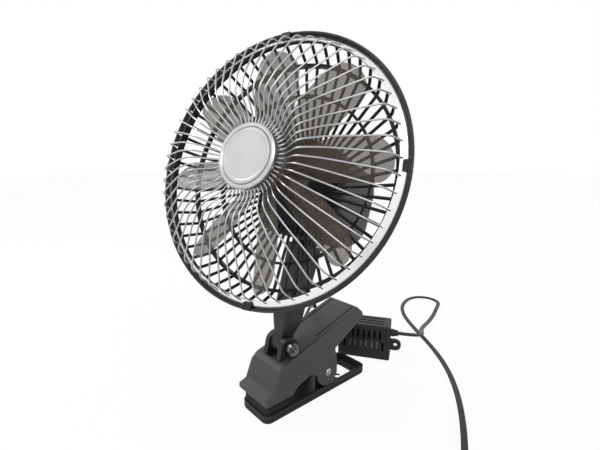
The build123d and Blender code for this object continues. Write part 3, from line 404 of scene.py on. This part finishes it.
# %% Plug grip
PLUG_OUT = coil_slope(COIL_SWEEP)
plug_line = frame_of(PLUG_POINT, PLUG_OUT, (0, 0, 1))
GRIP_RADIUS = 10.4
GRIP_START = 33
GRIP_STEP = 3.2
GRIP_RINGS = 5
GRIP_THICK = 0.5
GRIP_FLAT = 1.5
grip_rings = copies(rib(plug_line, GRIP_START, GRIP_RADIUS, GRIP_THICK, GRIP_FLAT), GRIP_RINGS)
for step, ring in enumerate(grip_rings):
    settle(ring, "ring", Matrix.Translation(PLUG_OUT * GRIP_STEP * step * MM))
plug_grip = joined(grip_rings, "plug_grip")
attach(plug_grip, "clamp_top")
print("plug grip", len(grip_rings))

# %% [markdown]
# The jaw spring is a torsion coil round the pin, with a leg on each jaw, so it winds up as the jaws open.
# A copy of the solid's spring is merged into one skin.

# %% Jaw spring
spring_coil = bpy.data.objects.new("spring_coil", nodes["jaw_spring"].data.copy())
scene.collection.objects.link(spring_coil)
bpy.ops.object.select_all(action="DESELECT")
spring_coil.select_set(True)
bpy.context.view_layer.objects.active = spring_coil
bpy.ops.object.mode_set(mode="EDIT")
bpy.ops.mesh.select_all(action="SELECT")
bpy.ops.mesh.remove_doubles(threshold=0.01 * MM)
bpy.ops.object.mode_set(mode="OBJECT")
bpy.ops.object.shade_smooth_by_angle(angle=radians(40))
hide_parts("jaw_spring")
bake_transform(spring_coil)
print("jaw spring", len(spring_coil.data.vertices), "points")

# %% [markdown]
# The swing is stopped by pulling a knob on top of the motor. Its skirt has upright ridges for the
# fingers. One ridge is shaped from a cube with rounded edges, and its copies go round the knob. Ridges cut
# into the skirt would need a finer mesh for the same look.

# %% Knob ridges
SWING = radians(18.2)
FAN_FRONT = -NECK_BACK * cos(SWING) + Vector((1, 0, 0)) * sin(SWING)
FAN_HEIGHT = 148
FAN_AHEAD = 80
HEAD_AT = KNUCKLE + NECK_UP * FAN_HEIGHT + FAN_FRONT * FAN_AHEAD
KNOB_HIGH = 42.8
KNOB_BEHIND = 108
KNOB_FOOT = HEAD_AT + NECK_UP * KNOB_HIGH - FAN_FRONT * KNOB_BEHIND
KNOB_RADIUS = 7
RIDGES = 20
RIDGE_WIDE = 0.9
RIDGE_TALL = 3.6
RIDGE_ROUND = 0.28
RIDGE_MIDDLE = Vector((KNOB_RADIUS, 0, 2)) * MM
ridge_size = (RIDGE_WIDE * MM, RIDGE_WIDE * MM, RIDGE_TALL * MM)
knob_line = frame_of(KNOB_FOOT, NECK_UP, FAN_FRONT)
bpy.ops.object.select_all(action="DESELECT")
bpy.ops.mesh.primitive_cube_add(size=1, location=RIDGE_MIDDLE)
bpy.ops.object.mode_set(mode="EDIT")
bpy.ops.mesh.select_all(action="SELECT")
bpy.ops.transform.resize(value=ridge_size, center_override=RIDGE_MIDDLE)
bpy.ops.mesh.bevel(offset=RIDGE_ROUND * MM, segments=2, affect="EDGES")
bpy.ops.object.mode_set(mode="OBJECT")
ridges = copies(settle(bpy.context.object, "ridge"), RIDGES)
for step, ridge in enumerate(ridges):
    turn = Matrix.Rotation(2 * pi * step / RIDGES, 4, "Z")
    settle(ridge, "ridge", knob_line @ turn)
knob_ridges = joined(ridges, "knob_ridges")
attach(knob_ridges, "knob")
print("knob ridges", RIDGES)

# %% [markdown]
# The foot of the clamp has two thin beads round its edge, where the mould's halves and the rubber meet.
# A plane takes the foot's size, its corners are rounded, an inset leaves a narrow frame, and the frame
# is pulled up into a band that stands a little proud of the wall.

# %% Foot beads
FOOT_SIZE = (40, 135)
FOOT_CORNER = 7
BEAD_PROUD = 0.5
BEAD_DEEP = 1.2
BEAD_ROUND = 0.22
BEAD_BANDS = ((2.6, 3.5), (6.6, 8.2))
beads = []
for low, high in BEAD_BANDS:
    bpy.ops.object.select_all(action="DESELECT")
    bpy.ops.mesh.primitive_plane_add(size=1, location=(0, 0, low * MM))
    bpy.ops.object.mode_set(mode="EDIT")
    bpy.ops.mesh.select_all(action="SELECT")
    wide = (FOOT_SIZE[0] + 2 * BEAD_PROUD) * MM
    long = (FOOT_SIZE[1] + 2 * BEAD_PROUD) * MM
    bpy.ops.transform.resize(value=(wide, long, 1), center_override=(0, 0, low * MM))
    bpy.ops.mesh.bevel(offset=(FOOT_CORNER + BEAD_PROUD) * MM, segments=8, affect="VERTICES")
    bpy.ops.mesh.inset(thickness=(BEAD_PROUD + BEAD_DEEP) * MM)
    bpy.ops.mesh.delete(type="FACE")
    bpy.ops.mesh.select_all(action="SELECT")
    bpy.ops.mesh.extrude_region_move(TRANSFORM_OT_translate={"value": (0, 0, (high - low) * MM)})
    bpy.ops.mesh.select_all(action="SELECT")
    bpy.ops.mesh.normals_make_consistent(inside=False)
    bpy.ops.mesh.bevel(offset=BEAD_ROUND * MM, segments=2, affect="EDGES", clamp_overlap=True)
    bpy.ops.object.mode_set(mode="OBJECT")
    beads.append(settle(bpy.context.object, "bead"))
foot_beads = joined(beads, "foot_beads")
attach(foot_beads, "clamp_foot")
print("foot beads", len(foot_beads.data.polygons), "faces")

# %% [markdown]
# The cap's dished face is a bare bright plate with a fine step near its edge. A filled circle is inset
# several times: a ring near the edge is lifted, so the light breaks on it, and the middle sinks a little.

# %% Cap plate
CAP_FACE = 36.75
PLATE_RADIUS = 20.2
PLATE_THICK = 0.5
PLATE_STEPS = ((0.6, 0.35), (1.6, 0.0), (0.5, -0.35), (5, -0.15), (7, -0.1), (5, 0.0))
bpy.ops.object.select_all(action="DESELECT")
bpy.ops.mesh.primitive_circle_add(vertices=96, radius=PLATE_RADIUS * MM, fill_type="NGON")
bpy.ops.object.mode_set(mode="EDIT")
bpy.ops.mesh.select_all(action="SELECT")
for thickness, depth in PLATE_STEPS:
    bpy.ops.mesh.inset(thickness=thickness * MM, depth=depth * MM)
bpy.ops.object.mode_set(mode="OBJECT")
cap_spot = frame_of(HEAD_AT + FAN_FRONT * CAP_FACE, FAN_FRONT, (1, 0, 0))
cap_plate = settle(bpy.context.object, "cap_plate", cap_spot)
thick = cap_plate.modifiers.new("thick", "SOLIDIFY")
thick.thickness = PLATE_THICK * MM
thick.offset = -1
bpy.ops.object.modifier_apply(modifier="thick")
bpy.ops.object.shade_smooth_by_angle(angle=radians(25))
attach(cap_plate, "head")
print("cap plate", len(cap_plate.data.polygons), "faces")

# %% [markdown]
# Moulded plastic is never quite even: a fine grain catches the light, larger patches are a little
# duller, and touched places are polished. One node group gives a fine mask and a broad mask, and each
# material takes from it what its surface shows.

# %% Grain group
grain = bpy.data.node_groups.new("surface_grain", "ShaderNodeTree")
grain.interface.new_socket("Fine Scale", in_out="INPUT", socket_type="NodeSocketFloat")
grain.interface.new_socket("Broad Scale", in_out="INPUT", socket_type="NodeSocketFloat")
grain.interface.new_socket("Fine", in_out="OUTPUT", socket_type="NodeSocketFloat")
grain.interface.new_socket("Broad", in_out="OUTPUT", socket_type="NodeSocketFloat")
grain_in = grain.nodes.new("NodeGroupInput")
grain_out = grain.nodes.new("NodeGroupOutput")
grain_place = grain.nodes.new("ShaderNodeTexCoord")
for mask, detail in (("Fine", 4), ("Broad", 3)):
    noise = grain.nodes.new("ShaderNodeTexNoise")
    noise.inputs["Detail"].default_value = detail
    grain.links.new(grain_place.outputs["Object"], noise.inputs["Vector"])
    grain.links.new(grain_in.outputs[mask + " Scale"], noise.inputs["Scale"])
    grain.links.new(noise.outputs["Fac"], grain_out.inputs[mask])
print("grain group with", len(grain.nodes), "nodes")

# %% [markdown]
# A surface mixes two near colours and two roughnesses by the broad mask. Its bump comes from the fine mask,
# so a change of colour never looks like a dent.

# %% Surface builder
BUMP_HEIGHT = 0.3 * MM


def surface(name, dark, light, rough, bump, fine=900, broad=35, metallic=0.0, coat=0.0, shine=0.5):
    """A material that varies between two colours and two roughnesses, with a fine bump."""
    material = bpy.data.materials.new(name)
    material.use_nodes = True
    tree = material.node_tree
    shader = tree.nodes["Principled BSDF"]
    shader.inputs["Metallic"].default_value = metallic
    shader.inputs["Coat Weight"].default_value = coat
    shader.inputs["Specular IOR Level"].default_value = shine
    group = tree.nodes.new("ShaderNodeGroup")
    group.node_tree = grain
    group.inputs["Fine Scale"].default_value = fine
    group.inputs["Broad Scale"].default_value = broad
    mix = tree.nodes.new("ShaderNodeMix")
    mix.data_type = "RGBA"
    mix.inputs["A"].default_value = (*dark, 1)
    mix.inputs["B"].default_value = (*light, 1)
    tree.links.new(group.outputs["Broad"], mix.inputs["Factor"])
    tree.links.new(mix.outputs["Result"], shader.inputs["Base Color"])
    spread = tree.nodes.new("ShaderNodeMapRange")
    spread.inputs["To Min"].default_value = rough[0]
    spread.inputs["To Max"].default_value = rough[1]
    tree.links.new(group.outputs["Broad"], spread.inputs["Value"])
    tree.links.new(spread.outputs["Result"], shader.inputs["Roughness"])
    height = tree.nodes.new("ShaderNodeBump")
    height.inputs["Strength"].default_value = bump
    height.inputs["Distance"].default_value = BUMP_HEIGHT
    tree.links.new(group.outputs["Fine"], height.inputs["Height"])
    tree.links.new(height.outputs["Normal"], shader.inputs["Normal"])
    return material


print("surface builder ready")

# %% [markdown]
# The motor, neck, foot and box are black moulded plastic, and the upper jaw is a satin charcoal. The
# front guard and cap are bright plating, which shows mostly what it reflects. The blades are a clear
# smoke-grey moulding: light passes through, so the rear bars show behind them.

# %% Finishes
SMOKE_COVER = 0.56
finishes = {
    "black_plastic": surface(
        "black_plastic", (0.011, 0.011, 0.012), (0.022, 0.022, 0.024), (0.34, 0.52), 0.12, shine=0.32),
    "charcoal_plastic": surface(
        "charcoal_plastic", (0.040, 0.040, 0.041), (0.058, 0.058, 0.060), (0.36, 0.54), 0.1, shine=0.36),
    "chrome": surface("bright_plate", (0.36, 0.37, 0.38), (0.52, 0.53, 0.54), (0.14, 0.28), 0.02, metallic=1),
    "steel": surface("steel", (0.30, 0.30, 0.31), (0.48, 0.48, 0.49), (0.25, 0.42), 0.06, metallic=1),
    "brass": surface("brass", (0.50, 0.36, 0.14), (0.62, 0.47, 0.22), (0.3, 0.45), 0.05, metallic=1),
    "smoke_plastic": surface(
        "smoke_plastic", (0.082, 0.064, 0.046), (0.120, 0.100, 0.076), (0.2, 0.3), 0.0, shine=0.4),
    "rubber": surface(
        "rubber", (0.010, 0.010, 0.010), (0.022, 0.022, 0.022), (0.65, 0.85), 0.25, fine=1500, shine=0.3),
    "lead_black": surface(
        "lead_vinyl", (0.010, 0.010, 0.010), (0.020, 0.020, 0.020), (0.35, 0.5), 0.06, shine=0.35),
    "ceramic": surface("ceramic", (0.62, 0.61, 0.57), (0.74, 0.73, 0.69), (0.7, 0.85), 0.2),
}
satin_plate = surface("satin_plate", (0.54, 0.54, 0.55), (0.66, 0.66, 0.67), (0.24, 0.36), 0.03, metallic=1)
# A darker copy of the steel: painted shade for the knuckle's bolt and nut, which sit in shadow.
steel_painted_shade = surface("steel_painted_shade", (0.10, 0.10, 0.11), (0.24, 0.24, 0.25), (0.22, 0.4), 0.05, metallic=1)
smoke = finishes["smoke_plastic"].node_tree.nodes["Principled BSDF"]
smoke.inputs["Alpha"].default_value = SMOKE_COVER
print("finishes", len(finishes) + 2)

# %% [markdown]
# The front guard is one plated piece, but its broad hoop shines more than the drawn wires. The hoop is told
# from the wires by its distance from the fan's axis: a cross product with the axis gives that distance.

# %% Polished hoop
HOOP_EDGE = 100.8 * MM
HOOP_FADE = 0.4 * MM
HOOP_COLOUR = (0.84, 0.85, 0.86, 1)
plate = finishes["chrome"].node_tree
plate_shader = plate.nodes["Principled BSDF"]
plate_place = plate.nodes.new("ShaderNodeTexCoord")
from_hub = plate.nodes.new("ShaderNodeVectorMath")
from_hub.operation = "SUBTRACT"
from_hub.inputs[1].default_value = HEAD_AT * MM
off_axis = plate.nodes.new("ShaderNodeVectorMath")
off_axis.operation = "CROSS_PRODUCT"
off_axis.inputs[1].default_value = FAN_FRONT
reach = plate.nodes.new("ShaderNodeVectorMath")
reach.operation = "LENGTH"
on_hoop = plate.nodes.new("ShaderNodeMapRange")
on_hoop.inputs["From Min"].default_value = HOOP_EDGE - HOOP_FADE
on_hoop.inputs["From Max"].default_value = HOOP_EDGE + HOOP_FADE
polish = plate.nodes.new("ShaderNodeMix")
polish.data_type = "RGBA"
polish.inputs["B"].default_value = HOOP_COLOUR
wire_colour = plate_shader.inputs["Base Color"].links[0].from_socket
plate.links.new(plate_place.outputs["Object"], from_hub.inputs[0])
plate.links.new(from_hub.outputs["Vector"], off_axis.inputs[0])
plate.links.new(off_axis.outputs["Vector"], reach.inputs[0])
plate.links.new(reach.outputs["Value"], on_hoop.inputs["Value"])
plate.links.new(on_hoop.outputs["Result"], polish.inputs["Factor"])
plate.links.new(wire_colour, polish.inputs["A"])
plate.links.new(polish.outputs["Result"], plate_shader.inputs["Base Color"])
print("hoop from", round(HOOP_EDGE, 4), "m")

# %% [markdown]
# Each node of the solid model names its slot, so the finishes go on by slot. The cap is satin rather than
# bright, and the knuckle's bolt and nut get a darker copy of the steel, which is painted shade for the
# shadow they sit in. The new pieces take the finish of the part they sit on.

# %% Put on the finishes
for subpart in frame["record"]["subparts"]:
    piece = nodes[subpart["node"]]
    piece.data.materials.clear()
    piece.data.materials.append(finishes[subpart["material_slot"]])
for name, finish in (("centre_cap", satin_plate), ("thumb_nut", steel_painted_shade), ("knuckle_bolt", steel_painted_shade)):
    nodes[name].data.materials[0] = finish
for piece, slot, finish in (
    (head_cord, "lead_black", finishes["lead_black"]),
    (plug_cord, "lead_black", finishes["lead_black"]),
    (relief_ribs, "black_plastic", finishes["black_plastic"]),
    (box_relief_ribs, "black_plastic", finishes["black_plastic"]),
    (plug_grip, "black_plastic", finishes["black_plastic"]),
    (knob_ridges, "black_plastic", finishes["black_plastic"]),
    (foot_beads, "black_plastic", finishes["black_plastic"]),
    (spring_coil, "steel", finishes["steel"]),
    (cap_plate, "chrome", satin_plate),
):
    piece.data.materials.clear()
    piece.data.materials.append(finish)

# %% [markdown]
# The fan stands on a white floor under soft light from above and in front, as a product photograph
# does. The floor keeps a faint shadow, and the world is white to the camera and to bright metal.

# %% Stage and light
FLOOR_SIZE = 12
FLOOR_DROP = 0.5 * MM
PAPER = (0.92, 0.92, 0.92, 1)
PAPER_ROUGH = 0.9
WHITE_SHARE = 0.93
WORLD_LIGHT = 0.7
WORLD_SEEN = 1.0
bpy.ops.object.select_all(action="DESELECT")
bpy.ops.mesh.primitive_plane_add(size=FLOOR_SIZE, location=(0, 0, -FLOOR_DROP))
floor = bpy.context.object
floor.name = "floor"
floor_finish = bpy.data.materials.new("floor")
floor_finish.use_nodes = True
paper = floor_finish.node_tree
paper_shader = paper.nodes["Principled BSDF"]
paper_shader.inputs["Base Color"].default_value = PAPER
paper_shader.inputs["Roughness"].default_value = PAPER_ROUGH
white = paper.nodes.new("ShaderNodeEmission")
paper_ray = paper.nodes.new("ShaderNodeLightPath")
share = paper.nodes.new("ShaderNodeMath")
share.operation = "MULTIPLY"
share.inputs[1].default_value = WHITE_SHARE
blend = paper.nodes.new("ShaderNodeMixShader")
paper.links.new(paper_ray.outputs["Is Camera Ray"], share.inputs[0])
paper.links.new(share.outputs["Value"], blend.inputs["Fac"])
paper.links.new(paper_shader.outputs["BSDF"], blend.inputs[1])
paper.links.new(white.outputs["Emission"], blend.inputs[2])
paper.links.new(blend.outputs["Shader"], paper.nodes["Material Output"].inputs["Surface"])
floor.data.materials.append(floor_finish)

world = bpy.data.worlds.new("studio")
world.use_nodes = True
scene.world = world
sky = world.node_tree
background = sky.nodes["Background"]
background.inputs["Color"].default_value = (1, 1, 1, 1)
ray = sky.nodes.new("ShaderNodeLightPath")
seen = sky.nodes.new("ShaderNodeMath")
seen.operation = "MAXIMUM"
mirrored = sky.nodes.new("ShaderNodeMath")
mirrored.operation = "MAXIMUM"
sky.links.new(ray.outputs["Is Glossy Ray"], mirrored.inputs[0])
sky.links.new(ray.outputs["Is Transmission Ray"], mirrored.inputs[1])
sky.links.new(ray.outputs["Is Camera Ray"], seen.inputs[0])
sky.links.new(mirrored.outputs["Value"], seen.inputs[1])
level = sky.nodes.new("ShaderNodeMapRange")
level.inputs["To Min"].default_value = WORLD_LIGHT
level.inputs["To Max"].default_value = WORLD_SEEN
sky.links.new(seen.outputs["Value"], level.inputs["Value"])
sky.links.new(level.outputs["Result"], background.inputs["Strength"])


def soft_lamp(name, place, aim, size, power):
    """A square lamp that faces a point."""
    bpy.ops.object.light_add(type="AREA", location=place)
    lamp = bpy.context.object
    lamp.name = name
    lamp.data.size = size
    lamp.data.energy = power
    lamp.rotation_euler = (Vector(aim) - Vector(place)).to_track_quat("-Z", "Y").to_euler()


FAN_MIDDLE = (0.02, -0.04, 0.2)
soft_lamp("key", (-0.8, -0.55, 1.2), FAN_MIDDLE, 0.7, 8)
soft_lamp("fill", (1.0, -0.2, 0.9), FAN_MIDDLE, 0.8, 4)
print("stage ready")
